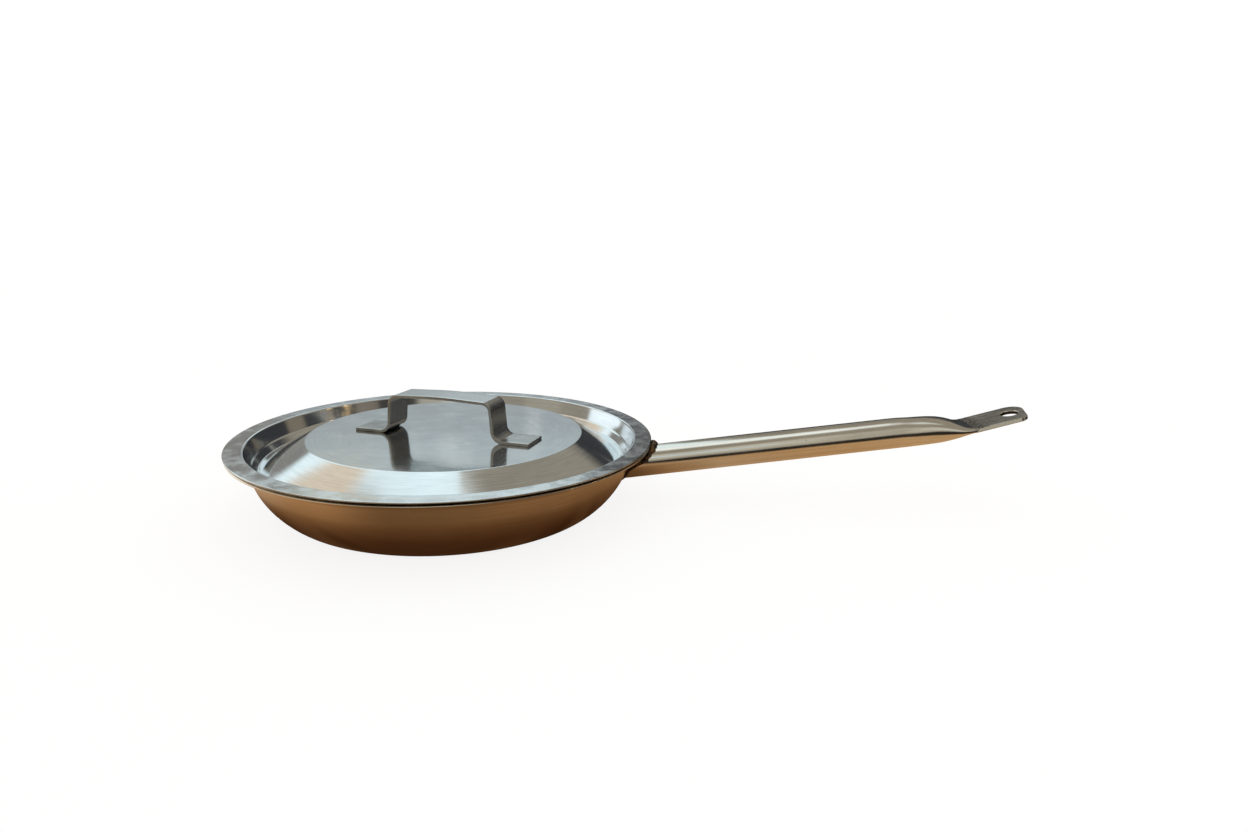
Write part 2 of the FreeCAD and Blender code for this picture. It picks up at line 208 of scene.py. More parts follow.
def pan_bend(q):
    # faint waves left by drawing and by use: they only show in the reflections, and stay inside the sheet's own place
    r = math.hypot(q.x, q.y)
    k = max(0.0, min(1.0, (r - 0.095) / 0.01)) * max(0.0, min(1.0, (0.1255 - r) / 0.004))
    d = (wobble(q, 0.045, 0.00005, 3.0) + wobble(q, 0.016, 0.000012, 8.0) - 0.00006) * k
    return Vector((q.x * (1 + d / r), q.y * (1 + d / r), q.z))


pan = lathe("pan_body", outer + rim + inner, SEGS, bend=pan_bend)
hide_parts("pan_shell")
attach(pan, "pan")

# ------------------------------------------------------------------ lid
top, brim, under = sheet_loop(LID_PATH, LID_RADII, -LID_SHEET, step=6.0, span=2.5)


def lid_bend(q):
    r = math.hypot(q.x, q.y)
    d = 0.0
    if r < 0.084:
        # the raised disc is not dead flat: it is pulled a little where the strap is welded on
        d = wobble(q, 0.05, 0.00004, 1.0) * min(1.0, (0.084 - r) / 0.012) - 0.00003 * min(1.0, (0.084 - r) / 0.012)
    elif 0.0885 < r < 0.111:
        k = min(1.0, (r - 0.0885) / 0.004, (0.111 - r) / 0.004)
        d = wobble(q, 0.035, 0.00003, 5.0) * k
    elif r > 0.1222:
        k = min(1.0, (r - 0.1222) / 0.002)
        d = (wobble(q, 0.03, 0.00005, 9.0) - 0.00003) * k
    return Vector((q.x, q.y, q.z + d))


lid = lathe("lid_plate", top + brim + under, SEGS, bend=lid_bend)
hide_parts("lid_shell")
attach(lid, "lid")


# ------------------------------------------------------------------ strap on the lid
def strap_section(w, t, r, inset=0.0):
    """Rounded rectangle across the strip, as (width, thickness) pairs, with spare points on the wide faces."""
    w, t = w / 2 - inset, t / 2 - inset
    r = max(0.02, r - inset * 0.5)
    pts = []
    for cx, cy, a0 in ((w - r, t - r, 0), (-(w - r), t - r, 90), (-(w - r), -(t - r), 180), (w - r, -(t - r), 270)):
        arc = [(cx + r * math.cos(math.radians(a0 + 90 * k / 4)), cy + r * math.sin(math.radians(a0 + 90 * k / 4))) for k in range(5)]
        pts.extend(arc)
        if a0 in (0, 180):
            sgn = 1 if a0 == 0 else -1
            for k in range(1, 8):
                pts.append((sgn * (w - r) * (1 - 2 * k / 8), sgn * t))
    return pts


mid = rounded(STRAP_PATH, STRAP_RADII, step=5.0, span=2.0)
turn = Matrix.Rotation(math.radians(STRAP_TURN), 4, "Z")
put = Matrix.Translation(Vector(STRAP_AT) * MM) @ turn
loops = []
ends = (0.0, 0.08, 0.25)
path = [(mid[0] + Vector((e, 0)), 0.25 - e if e < 0.25 else 0.0) for e in ends]
path += [(p, 0.0) for p in mid[1:-1]]
path += [(mid[-1] - Vector((e, 0)), 0.25 - e if e < 0.25 else 0.0) for e in reversed(ends)]
for i, (p, inset) in enumerate(path):
    a = path[max(0, i - 1)][0]
    b = path[min(len(path) - 1, i + 1)][0]
    d = (b - a).normalized()
    n = Vector((-d.y, d.x))
    loop = []
    for w, t in strap_section(STRAP_W, STRAP_T, 0.28, inset):
        q = p + n * t
        pos = Vector((q.x, -w, q.y)) * MM
        pos = put @ pos
        loop.append(pos)
    loops.append(loop)
strap = skin("lid_strap", loops, sharp=50)
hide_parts("lid_handle")
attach(strap, "lid")

# ------------------------------------------------------------------ handle
a_dir = Vector((math.cos(INCLINE), 0, math.sin(INCLINE)))
a_up = Vector((-math.sin(INCLINE), 0, math.cos(INCLINE)))
t_dir = Vector((math.cos(TONGUE_TILT), 0, math.sin(TONGUE_TILT)))
t_up = Vector((-math.sin(TONGUE_TILT), 0, math.cos(TONGUE_TILT)))
Y = Vector((0, 1, 0))


def axis_at(x):
    return Vector((x, 0, AXIS_Z0 + (x - AXIS_X0) * math.tan(INCLINE)))


# x, half width, height above the axis, height below it, squareness
PRESSED = [(284, 10.0, 10.0, 10.0, 2.0), (293, 10.05, 9.85, 9.97, 2.0), (300, 10.35, 9.35, 9.85, 2.05),
           (310, 11.1, 8.75, 9.45, 2.15), (318.5, 12.2, 7.6, 8.75, 2.3), (324.5, 13.2, 6.0, 7.5, 2.4),
           (329, 14.0, 4.2, 5.9, 2.6), (333.5, 14.45, 2.1, 3.7, 3.2), (338, 14.55, 0.8, 1.8, 5.0)]


def between(table, x):
    xs = [row[0] for row in table]
    i = max(0, min(len(xs) - 2, sum(1 for v in xs if v <= x) - 1))
    out = []
    for c in range(1, 5):
        def slope(k):
            if k <= 0:
                return 0.0
            if k >= len(xs) - 1:
                return (table[-1][c] - table[-2][c]) / (xs[-1] - xs[-2])
            s1 = (table[k][c] - table[k - 1][c]) / (xs[k] - xs[k - 1])
            s2 = (table[k + 1][c] - table[k][c]) / (xs[k + 1] - xs[k])
            return 0.0 if s1 * s2 <= 0 else 2 * s1 * s2 / (s1 + s2)
        h = xs[i + 1] - xs[i]
        t = (x - xs[i]) / h
        y0, y1, m0, m1 = table[i][c], table[i + 1][c], slope(i), slope(i + 1)
        out.append((2 * t ** 3 - 3 * t ** 2 + 1) * y0 + (t ** 3 - 2 * t ** 2 + t) * h * m0
                   + (-2 * t ** 3 + 3 * t ** 2) * y1 + (t ** 3 - t ** 2) * h * m1)
    return out


ROUND = 144


def oval(a, bt, bb, n):
    """Section across the tube as (sideways, up) pairs."""
    zc, half = (bt - bb) / 2, (bt + bb) / 2
    pts = []
    for k in range(ROUND):
        th = 2 * math.pi * (k + 0.5) / ROUND
        c, s = math.cos(th), math.sin(th)
        rho = (abs(c) ** n + abs(s) ** n) ** (-1.0 / n)
        pts.append((a * rho * c, zc + half * rho * s))
    return pts


def slab(a, lo, hi, r):
    """Section of the flat tongue as (sideways, up) pairs: its edges are the folds of the pressed tube."""
    zc, half = (hi + lo) / 2, (hi - lo) / 2
    r = min(r, half - 1e-4)
    pts = []
    for k in range(ROUND):
        th = 2 * math.pi * (k + 0.5) / ROUND
        c, s = math.cos(th), math.sin(th)
        f0, f1 = 0.0, 1.6
        for _ in range(40):
            f = (f0 + f1) / 2
            y, z = abs(a * c * f), abs(half * s * f)
            dy, dz = max(0.0, y - (a - r)), max(0.0, z - (half - r))
            inside = y <= a and z <= half and math.hypot(dy, dz) <= r
            if inside:
                f0 = f
            else:
                f1 = f
        pts.append((a * c * f0, zc + half * s * f0))
    return pts


# the pan's outer wall as radius over height, for the tube's root and the weld
wall = [(p.y, p.x) for p in outer if p.x > 92.6 and p.y < 41.6]


def wall_r(z):
    if z <= wall[0][0]:
        return wall[0][1]
    for (z0, r0), (z1, r1) in zip(wall, wall[1:]):
        if z0 <= z <= z1:
            return r0 + (r1 - r0) * (z - z0) / max(1e-9, z1 - z0)
    return wall[-1][1]


def root_at(y, up, sink):
    """Distance along the tube's axis, from AXIS_X0, where a line beside the axis meets the pan's wall."""
    lo, hi = -30.0, 30.0
    for _ in range(50):
        s = (lo + hi) / 2
        p = axis_at(AXIS_X0) + a_dir * s + Y * y + a_up * up
        if math.hypot(p.x, p.y) < wall_r(p.z) - sink:
            lo = s
        else:
            hi = s
    return (lo + hi) / 2


circle = oval(TUBE_R, TUBE_R, TUBE_R, 2.0)
roots = [root_at(y, u, 0.4) for y, u in circle]
S_PLAIN = (284.0 - AXIS_X0) / math.cos(INCLINE)
loops = []
N_ROOT = 46
for i in range(N_ROOT + 1):
    f = i / N_ROOT
    loop = []
    for (y, u), s0 in zip(circle, roots):
        s = s0 + (S_PLAIN - s0) * (f ** 1.25)
        # drawn tube is never perfectly straight or round
        p = axis_at(AXIS_X0) + a_dir * s + Y * y + a_up * u
        k = min(1.0, f * 6)
        d = k * (wobble(p * MM, 0.05, 0.03, 2.0) - 0.02)
        p = p + (Y * y + a_up * u) * (d / TUBE_R)
        loop.append(p * MM)
    loops.append(loop)
x = 286.0
while x < CREASE_X - 0.6:
    a, bt, bb, n = between(PRESSED, x)
    c = axis_at(x)
    dent = wobble(Vector((x * MM, 0, 0)), 0.012, 0.08, 6.0)
    loops.append([(c + Y * y + a_up * (u - (0.03 if u > 0 else 0.0) * abs(dent))) * MM for y, u in oval(a, bt, bb, n)])
    x += 1.5
crease = axis_at(CREASE_X) + a_up * CREASE_UP
hw = TONGUE_W / 2
stations = [0.9, 1.6, 2.6, 4.0, 7.0, 11.0, 15.0, 19.0, 23.0]
tip = [TONGUE_L - R_FAR + R_FAR * math.sin(math.radians(a)) for a in (4, 12, 20, 28, 36)]
tip += [TONGUE_L - R_NEAR + R_NEAR * math.sin(math.radians(a)) for a in (2, 10, 20, 30, 40, 50, 60, 68)]
stations += sorted(tip) + [TONGUE_L - 0.22, TONGUE_L - 0.10, TONGUE_L - 0.02]
for s in stations:
    far_w, near_w = [hw - q + math.sqrt(max(0.0, q * q - max(0.0, s - (TONGUE_L - q)) ** 2)) for q in (R_FAR, R_NEAR)]
    a, shift = (far_w + near_w) / 2, (far_w - near_w) / 2
    edge = max(0.0, s - (TONGUE_L - 0.6)) / 0.6
    cut = 0.6 * (1 - math.sqrt(max(0.0, 1 - edge * edge)))
    grow = min(1.0, (s + 1.5) / 4.0)
    c = crease + t_dir * s
    skew = END_SKEW * max(0.0, min(1.0, (s - 4.0) / (TONGUE_L - R_FAR - 4.0)))
    ring = []
    for y, u in slab(a - 0.1 * (1 - grow), -TONGUE_T + cut, -cut, 0.55):
        # the folded edges lean in a little towards the top face
        y = y + shift - math.copysign(min(0.9, abs(y)) * (u + TONGUE_T) / TONGUE_T * grow, y)
        ring.append((c + t_dir * (skew * y) + Y * y + t_up * u) * MM)
    loops.append(ring)
tube = skin("handle_body", loops, sharp=38)

# hanging hole, cut with a slightly flared punch
hc = crease + t_dir * HOLE_S - t_up * (TONGUE_T / 2)
punch = []
for h, r in ((-4.0, HOLE_R + 0.32), (-TONGUE_T / 2 - 0.05, HOLE_R + 0.32), (-TONGUE_T / 2 + 0.2, HOLE_R + 0.06), (-TONGUE_T / 2 + 0.4, HOLE_R),
             (TONGUE_T / 2 - 0.5, HOLE_R), (TONGUE_T / 2 - 0.28, HOLE_R + 0.05), (TONGUE_T / 2 - 0.1, HOLE_R + 0.2), (TONGUE_T / 2 + 0.02, HOLE_R + 0.42), (4.0, HOLE_R + 0.42)):
    punch.append([(hc + t_up * h + t_dir * (r * math.cos(2 * math.pi * k / 72)) + Y * (r * math.sin(2 * math.pi * k / 72))) * MM for k in range(72)])
cutter = skin("punch", punch)
mod = tube.modifiers.new("hole", "BOOLEAN")
mod.operation = "DIFFERENCE"
mod.solver = "EXACT"
mod.object = cutter
bpy.context.view_layer.update()
dg = bpy.context.evaluated_depsgraph_get()
done = bpy.data.meshes.new_from_object(tube.evaluated_get(dg))
tube.modifiers.clear()
old = tube.data
tube.data = done
done.name = "handle_body"
bpy.data.meshes.remove(old)
bpy.data.objects.remove(cutter)
for p in tube.data.polygons:
    p.use_smooth = True
tube.data.set_sharp_from_angle(angle=math.radians(32))
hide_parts("handle_tube")
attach(tube, "pan")

# ------------------------------------------------------------------ weld between pan and tube
ptop = axis_at(BEAD_TOP_X) + a_up * TUBE_R
pbot = axis_at(BEAD_BOTTOM_X) - a_up * TUBE_R
s_top = (ptop - axis_at(AXIS_X0)).dot(a_dir)
s_bot = (pbot - axis_at(AXIS_X0)).dot(a_dir)
NB = 180
loops = []
for k in range(NB):
    th = 2 * math.pi * k / NB
    y, u = math.cos(th), math.sin(th)
    s_seam = (s_top + s_bot) / 2 + (s_top - s_bot) / 2 * u
    key = Vector((y * 3.1, u * 3.1, 1.7))
    # overlapping drops laid one after another, none quite like the next
    drop = abs(math.sin(th * 9.0 + 0.7 * noise.noise(key * 1.3)))
    # heavy on top, where it was laid; below it runs out into a thin seam close to the wall
    heavy = max(0.0, min(1.0, (u + 0.30) / 0.55))
    heavy = heavy * heavy * (3 - 2 * heavy)
    rb = BEAD_R * (0.72 + 0.46 * drop + 0.16 * noise.noise(key * 2.0)) * (0.42 + 0.58 * heavy)
    s_seam += 0.45 * noise.noise(key * 1.9 + Vector((4, 4, 4)))
    fill = TUBE_R + (0.25 + 1.1 * heavy) + (0.12 + 0.23 * heavy) * noise.noise(key * 2.6)
    s_wall = root_at(y * fill, u * fill, 0.35)
    s_seam = s_wall + (s_seam - s_wall) * (0.30 + 0.70 * heavy)
    run = max(0.6, s_seam - s_wall)
    loop = [(s_wall, TUBE_R - 0.35), (s_wall, TUBE_R + 0.5), (s_wall, fill + 0.25)]
    for j in range(1, 8):
        f = j / 8
        s = s_wall + (run - rb * 0.75) * f
        lump = (0.32 * noise.noise(Vector((y * 5, u * 5, s * 0.45))) + 0.18 * noise.noise(Vector((y * 11, u * 11, s * 1.1)))) * (0.3 + 0.7 * heavy)
        loop.append((s, fill + lump * math.sin(math.pi * f)))
    for j in range(0, 11):
        ang = math.radians(155 - 16.2 * j)
        rr = rb * (1 + 0.05 * noise.noise(Vector((y * 9, u * 9, j * 0.8))))
        loop.append((s_seam + rr * math.cos(ang), max(TUBE_R - 0.3, TUBE_R + rr * math.sin(ang))))
    loop.append((s_seam + rb * 0.98, TUBE_R - 0.35))
    ring = []
    for s, rho in loop:
        p = axis_at(AXIS_X0) + a_dir * s + Y * (y * rho) + a_up * (u * rho)
        ring.append(p * MM)
    loops.append(ring)
weld = skin("weld_bead", loops, closed=True, sharp=None)
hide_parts("handle_weld")
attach(weld, "pan")


# ------------------------------------------------------------------ materials
class Mat:
    def __init__(self, name):
        self.m = bpy.data.materials.new(name)
        self.m.use_nodes = True
        self.t = self.m.node_tree
        self.t.nodes.clear()
        self.out = self.t.nodes.new("ShaderNodeOutputMaterial")
        self.bsdf = self.t.nodes.new("ShaderNodeBsdfPrincipled")
        self.t.links.new(self.bsdf.outputs[0], self.out.inputs[0])
        co = self.t.nodes.new("ShaderNodeTexCoord")
        self.obj = co.outputs["Object"]
        sep = self.t.nodes.new("ShaderNodeSeparateXYZ")
        self.t.links.new(self.obj, sep.inputs[0])
        self.x, self.y, self.z = sep.outputs

    def put(self, socket, value):
        if isinstance(value, bpy.types.NodeSocket):
            self.t.links.new(value, socket)
        else:
            socket.default_value = value

    def f(self, op, a, b=0.0, c=0.0, clamp=False):
        n = self.t.nodes.new("ShaderNodeMath")
        n.operation = op
        n.use_clamp = clamp
        self.put(n.inputs[0], a)
        self.put(n.inputs[1], b)
        self.put(n.inputs[2], c)
        return n.outputs[0]

    def vec(self, x, y, z):
        n = self.t.nodes.new("ShaderNodeCombineXYZ")
        for i, v in enumerate((x, y, z)):
            self.put(n.inputs[i], v)
        return n.outputs[0]

    def noise(self, vector, scale, detail=3.0, rough=0.55, out=0):
        n = self.t.nodes.new("ShaderNodeTexNoise")
        self.put(n.inputs["Vector"], vector)
        n.inputs["Scale"].default_value = scale
        n.inputs["Detail"].default_value = detail
        n.inputs["Roughness"].default_value = rough
        return n.outputs[out]

    def cells(self, vector, scale, out="Distance", rand=1.0):
        n = self.t.nodes.new("ShaderNodeTexVoronoi")
        self.put(n.inputs["Vector"], vector)
        n.inputs["Scale"].default_value = scale
        n.inputs["Randomness"].default_value = rand
        return n.outputs[out]

    def span(self, v, a, b, lo=0.0, hi=1.0, smooth=True):
        n = self.t.nodes.new("ShaderNodeMapRange")
        n.interpolation_type = "SMOOTHSTEP" if smooth else "LINEAR"
        n.clamp = True
        self.put(n.inputs["Value"], v)
        for key, val in (("From Min", a), ("From Max", b), ("To Min", lo), ("To Max", hi)):
            n.inputs[key].default_value = val
        return n.outputs[0]

    def mix(self, fac, a, b):
        n = self.t.nodes.new("ShaderNodeMix")
        n.data_type = "RGBA"
        self.put(n.inputs[0], fac)
        for s, v in ((n.inputs[6], a), (n.inputs[7], b)):
            if isinstance(v, (tuple, list)):
                v = tuple(v) + ((1.0,) if len(v) == 3 else ())
            self.put(s, v)
        return n.outputs[2]

    def bump(self, height, distance, strength=1.0, normal=None):
        n = self.t.nodes.new("ShaderNodeBump")
        n.inputs["Strength"].default_value = strength
        n.inputs["Distance"].default_value = distance
        self.put(n.inputs["Height"], height)
        if normal is not None:
            self.put(n.inputs["Normal"], normal)
        return n.outputs[0]

    def radius(self):
        return self.f("SQRT", self.f("ADD", self.f("MULTIPLY", self.x, self.x), self.f("MULTIPLY", self.y, self.y)))


def dull(c, k):
    return tuple(v * k for v in c)


def steel(name, base, rough, lines, line_depth, wave_depth, spread=0.06, scratch=0.6, pit=0.0, tint=None, extra=None):
    """Worn stainless steel. lines gives the vector in which its polishing lines run long."""
    m = Mat(name)
    b = m.bsdf
    b.inputs["Metallic"].default_value = 1.0
    grain = m.noise(lines(m), 1.0, 3.0, 0.62)
    coarse = m.noise(lines(m), 0.22, 2.0, 0.5)
    smudge = m.noise(m.obj, 34.0, 4.0, 0.6)
    blotch = m.noise(m.obj, 160.0, 3.0, 0.6)
    wave = m.noise(m.obj, 55.0, 1.0, 0.4)
    # colour: polishing lines, handling marks
    v = m.f("ADD", m.f("MULTIPLY", grain, 0.55), m.f("ADD", m.f("MULTIPLY", smudge, 0.3), m.f("MULTIPLY", coarse, 0.15)))
    v = m.span(v, 0.32, 0.68)
    col = m.mix(v, dull(base, 0.86), dull(base, 1.06))
    if tint:
        col = tint(m, col)
    # fine scratches in two directions
    s1 = m.noise(m.vec(m.f("MULTIPLY", m.f("ADD", m.x, m.f("MULTIPLY", m.y, 0.35)), 900.0), m.f("MULTIPLY", m.f("SUBTRACT", m.y, m.f("MULTIPLY", m.x, 0.35)), 9.0), m.f("MULTIPLY", m.z, 60.0)), 1.0, 1.0, 0.4)
    s2 = m.noise(m.vec(m.f("MULTIPLY", m.f("SUBTRACT", m.x, m.f("MULTIPLY", m.y, 1.6)), 11.0), m.f("MULTIPLY", m.f("ADD", m.y, m.f("MULTIPLY", m.x, 0.6)), 780.0), m.f("MULTIPLY", m.z, 40.0)), 1.0, 1.0, 0.4)
    keep = m.span(m.noise(m.obj, 70.0, 2.0, 0.6), 0.60, 0.68)
    l1 = m.span(m.f("ABSOLUTE", m.f("SUBTRACT", s1, 0.5)), 0.0, 0.012, 1.0, 0.0)
    l2 = m.span(m.f("ABSOLUTE", m.f("SUBTRACT", s2, 0.5)), 0.0, 0.010, 1.0, 0.0)
    line = m.f("MULTIPLY", m.f("MAXIMUM", l1, l2), keep)
    line = m.f("MULTIPLY", line, scratch)
    col = m.mix(m.f("MULTIPLY", line, 0.22), col, dull(base, 1.25))
    height = m.f("SUBTRACT", m.f("MULTIPLY", grain, 1.0), m.f("MULTIPLY", line, 0.8))
    if pit:
        d = m.cells(m.obj, 38.0)
        dot = m.span(d, 0.012, 0.026, 1.0, 0.0)
        col = m.mix(m.f("MULTIPLY", dot, pit), col, (0.03, 0.02, 0.012))
        height = m.f("SUBTRACT", height, m.f("MULTIPLY", dot, 2.0))
    # roughness: the lines, finger marks and small dull spots
    r = m.f("ADD", rough - spread, m.f("MULTIPLY", m.span(smudge, 0.35, 0.7), spread * 0.9))
    r = m.f("ADD", r, m.f("MULTIPLY", grain, spread * 0.8))
    r = m.f("ADD", r, m.f("MULTIPLY", m.span(blotch, 0.55, 0.8), spread * 0.6))
    r = m.f("ADD", r, m.f("MULTIPLY", line, 0.12))
    n0 = m.bump(wave, wave_depth)
    n1 = m.bump(height, line_depth, normal=n0)
    if extra:
        col, r, n1 = extra(m, col, r, n1)
    m.put(b.inputs["Base Color"], col)
    m.put(b.inputs["Roughness"], r)
    m.put(b.inputs["Normal"], n1)
    return m.m


def ring_lines(fine, long=5.0):
    """Polishing lines that run round the axis, as on a turned or spun face."""
    def make(m):
        r = m.radius()
        safe = m.f("MAXIMUM", r, 0.002)
        c = m.f("MULTIPLY", m.f("DIVIDE", m.x, safe), long)
        s = m.f("MULTIPLY", m.f("DIVIDE", m.y, safe), long)
        return m.vec(c, s, m.f("MULTIPLY", m.f("ADD", r, m.f("MULTIPLY", m.z, 0.8)), fine))
    return make


def along_x_lines(fine, long=30.0):
    """Lines that run along the handle."""
    def make(m):
        return m.vec(m.f("MULTIPLY", m.x, long), m.f("MULTIPLY", m.y, fine), m.f("MULTIPLY", m.f("SUBTRACT", m.z, m.f("MULTIPLY", m.x, math.tan(INCLINE))), fine))
    return make


def strap_lines(fine, long=25.0):
    a = math.radians(STRAP_TURN)

    def make(m):
        u = m.f("ADD", m.f("MULTIPLY", m.x, math.cos(a)), m.f("MULTIPLY", m.y, math.sin(a)))
        v = m.f("SUBTRACT", m.f("MULTIPLY", m.y, math.cos(a)), m.f("MULTIPLY", m.x, math.sin(a)))
        return m.vec(m.f("MULTIPLY", u, long), m.f("MULTIPLY", v, fine), m.f("MULTIPLY", m.z, long))
    return make


def pan_inside_and_painted_reflection(m, col):
    # outside: painted reflection of the brown worktop, a warm brown that is stronger low down; inside it stays bare
    drift = m.f("MULTIPLY", m.f("SUBTRACT", m.noise(m.obj, 22.0, 3.0, 0.6), 0.5), 0.012)
    low_painted_light = m.span(m.f("ADD", m.z, drift), 0.004, 0.034, 1.0, 0.0)
    # the middle of the sheet, as radius over height, parts the outside from the bare inside
    middle = m.t.nodes.new("ShaderNodeValToRGB")
    m.put(middle.inputs[0], m.f("DIVIDE", m.z, 0.044, clamp=True))
    table = [(0.0, 0.0), (0.45, 0.0), (0.55, 94.5), (1.0, 95.2), (1.68, 96.4), (4.96, 101.0), (9.79, 106.1), (16.13, 111.0), (23.36, 114.9), (36.0, 118.6), (41.0, 120.9)]
    el = middle.color_ramp.elements
    el[0].position, el[0].color = 0.0, (0, 0, 0, 1)
    el[1].position, el[1].color = 1.0, (0.93, 0.93, 0.93, 1)
    for height, across in table[1:]:
        q = el.new(height / 44.0)
        q.color = (across / 130.0,) * 3 + (1.0,)
    outside = m.span(m.f("SUBTRACT", m.radius(), m.f("MULTIPLY", middle.outputs[0], 0.130)), -0.0001, 0.0001)
    low_painted_light = m.f("MULTIPLY", low_painted_light, outside)
    col = m.mix(m.f("MULTIPLY", m.f("SUBTRACT", 1.0, outside), 0.8), col, (0.58, 0.585, 0.58))
    col = m.mix(m.f("MULTIPLY", low_painted_light, 0.55), col, (0.50, 0.33, 0.19))
    # painted reflection: the side away from the handle is made lighter, most of all towards the rim
    left_painted_reflection = m.f("MULTIPLY", m.span(m.f("ADD", m.x, drift), -0.055, -0.006, 1.0, 0.0), m.span(m.z, 0.004, 0.030, 0.25, 1.0))
    col = m.mix(m.f("MULTIPLY", m.f("MULTIPLY", left_painted_reflection, outside), 0.9), col, (0.96, 0.89, 0.78))
    return col


def tongue_extra(m, col, r, nrm):
    """Flattened end of the handle: scuffed lengthwise on top, worst beside the crease, with painted shade inside the
    hole.
    """
    dx, dz = m.f("SUBTRACT", m.x, crease.x * MM), m.f("SUBTRACT", m.z, crease.z * MM)
    st = m.f("ADD", m.f("MULTIPLY", dx, t_dir.x), m.f("MULTIPLY", dz, t_dir.z))
    h = m.f("ADD", m.f("MULTIPLY", dx, t_up.x), m.f("MULTIPLY", dz, t_up.z))
    ds = m.f("SUBTRACT", st, HOLE_S * MM)
    d = m.f("SQRT", m.f("ADD", m.f("MULTIPLY", ds, ds), m.f("MULTIPLY", m.y, m.y)))
    top_face = m.f("MULTIPLY", m.span(st, 0.0003, 0.0016), m.span(h, -0.00035, -0.00010))
    rub = m.noise(m.vec(m.f("MULTIPLY", st, 45.0), m.f("MULTIPLY", m.y, 1500.0), 0.0), 1.0, 4.0, 0.7)
    near = m.span(m.f("ADD", st, m.f("MULTIPLY", m.noise(m.obj, 260.0, 2.0, 0.5), 0.006)), 0.006, 0.014, 1.0, 0.0)
    peck = m.noise(m.obj, 900.0, 3.0, 0.65)
    col = m.mix(m.f("MULTIPLY", top_face, m.span(rub, 0.35, 0.62, 0.75, 0.0)), col, (0.20, 0.185, 0.16))
    col = m.mix(m.f("MULTIPLY", m.f("MULTIPLY", top_face, near), m.span(peck, 0.42, 0.60)), col, (0.05, 0.045, 0.04))
    # painted shade: the wall of the hanging hole is made nearly black
    bore_painted_shade = m.f("MULTIPLY", m.span(d, (HOLE_R + 0.12) * MM, (HOLE_R + 0.40) * MM, 1.0, 0.0), m.span(h, -0.0008, -0.0003, 1.0, 0.0))
    col = m.mix(bore_painted_shade, col, (0.035, 0.028, 0.022))
    r = m.f("ADD", r, m.f("MULTIPLY", top_face, m.span(rub, 0.3, 0.7, 0.10, 0.22)))
    r = m.f("ADD", r, m.f("MULTIPLY", bore_painted_shade, 0.35))
    nrm = m.bump(m.f("MULTIPLY", m.f("ADD", rub, m.f("MULTIPLY", near, peck)), top_face), 0.00004, normal=nrm)
    return col, r, nrm


def strap_extra(m, col, r, nrm):
    """Painted shade: the feet are darker than the bridge, the left one most, and so are the cut edges beside them."""
    low_painted_light = m.span(m.z, 0.0470, 0.0540, 1.0, 0.0)
    shade_mottle = m.noise(m.obj, 120.0, 3.0, 0.6)
    # painted shade: the left foot is darkened more than the right
    side_painted_shade = m.span(m.x, -0.01, 0.02, 1.0, 0.55)
    col = m.mix(m.f("MULTIPLY", m.f("MULTIPLY", low_painted_light, side_painted_shade), m.span(shade_mottle, 0.3, 0.7, 0.50, 0.85)), col, (0.17, 0.165, 0.155))
    # painted shade: the legs are darker than the bridge
    leg_painted_shade = m.f("MULTIPLY", m.span(m.z, 0.0500, 0.0535), m.span(m.z, 0.0665, 0.0700, 1.0, 0.0))
    col = m.mix(m.f("MULTIPLY", leg_painted_shade, 0.35), col, (0.22, 0.21, 0.19))
    return col, r, nrm


def lid_extra(m, col, r, nrm):
    """Handling marks: a few knocks on the disc, and a patchy, scuffed brim, with painted shade that makes the brim
    darker towards the right.
    """
    marks = None
    for (x0, y0), (x1, y1), wide in (((10.1, 31.0), (22.2, 32.0), 0.35), ((25.0, 28.5), (29.0, 28.0), 0.25), ((-31.0, -42.0), (-27.5, -44.5), 0.18),
                                     ((60.0, -20.0), (63.5, -23.0), 0.2), ((-8.0, -70.0), (-2.5, -69.0), 0.2), ((-60.0, 8.0), (-57.0, 5.0), 0.2)):
        length = math.hypot(x1 - x0, y1 - y0)
        ux, uy = (x1 - x0) / length, (y1 - y0) / length
        px, py = m.f("SUBTRACT", m.x, x0 * MM), m.f("SUBTRACT", m.y, y0 * MM)
        along = m.f("ADD", m.f("MULTIPLY", px, ux), m.f("MULTIPLY", py, uy))
        over = m.f("ABSOLUTE", m.f("SUBTRACT", m.f("MULTIPLY", py, ux), m.f("MULTIPLY", px, uy)))
        k = m.f("MULTIPLY", m.span(over, wide * 0.5 * MM, wide * 1.4 * MM, 1.0, 0.0), m.f("MULTIPLY", m.span(along, 0.0, 0.001), m.span(along, (length - 1) * MM, length * MM, 1.0, 0.0)))
        marks = k if marks is None else m.f("MAXIMUM", marks, k)
    col = m.mix(m.f("MULTIPLY", marks, 0.7), col, (0.10, 0.105, 0.11))
    r = m.f("ADD", r, m.f("MULTIPLY", marks, 0.2))
    rad = m.radius()
    on_brim = m.span(rad, 0.1195, 0.1215)
    cloud = m.noise(m.obj, 95.0, 4.0, 0.62)
    right = m.span(m.x, 0.02, 0.11)
    # patchy stains all round the brim, and painted shade that darkens it towards the right
    brim_stain_and_painted_shade = m.f("MULTIPLY", on_brim, m.f("ADD", 0.12, m.f("MULTIPLY", right, 0.36)))
    col = m.mix(m.f("MULTIPLY", brim_stain_and_painted_shade, m.span(cloud, 0.42, 0.60, 1.0, 0.0)), col, (0.10, 0.11, 0.125))
    r = m.f("ADD", r, m.f("MULTIPLY", on_brim, m.span(cloud, 0.40, 0.62, 0.0, 0.10)))
    nrm = m.bump(m.f("MULTIPLY", cloud, on_brim), 0.00003, normal=nrm)
    return col, r, nrm
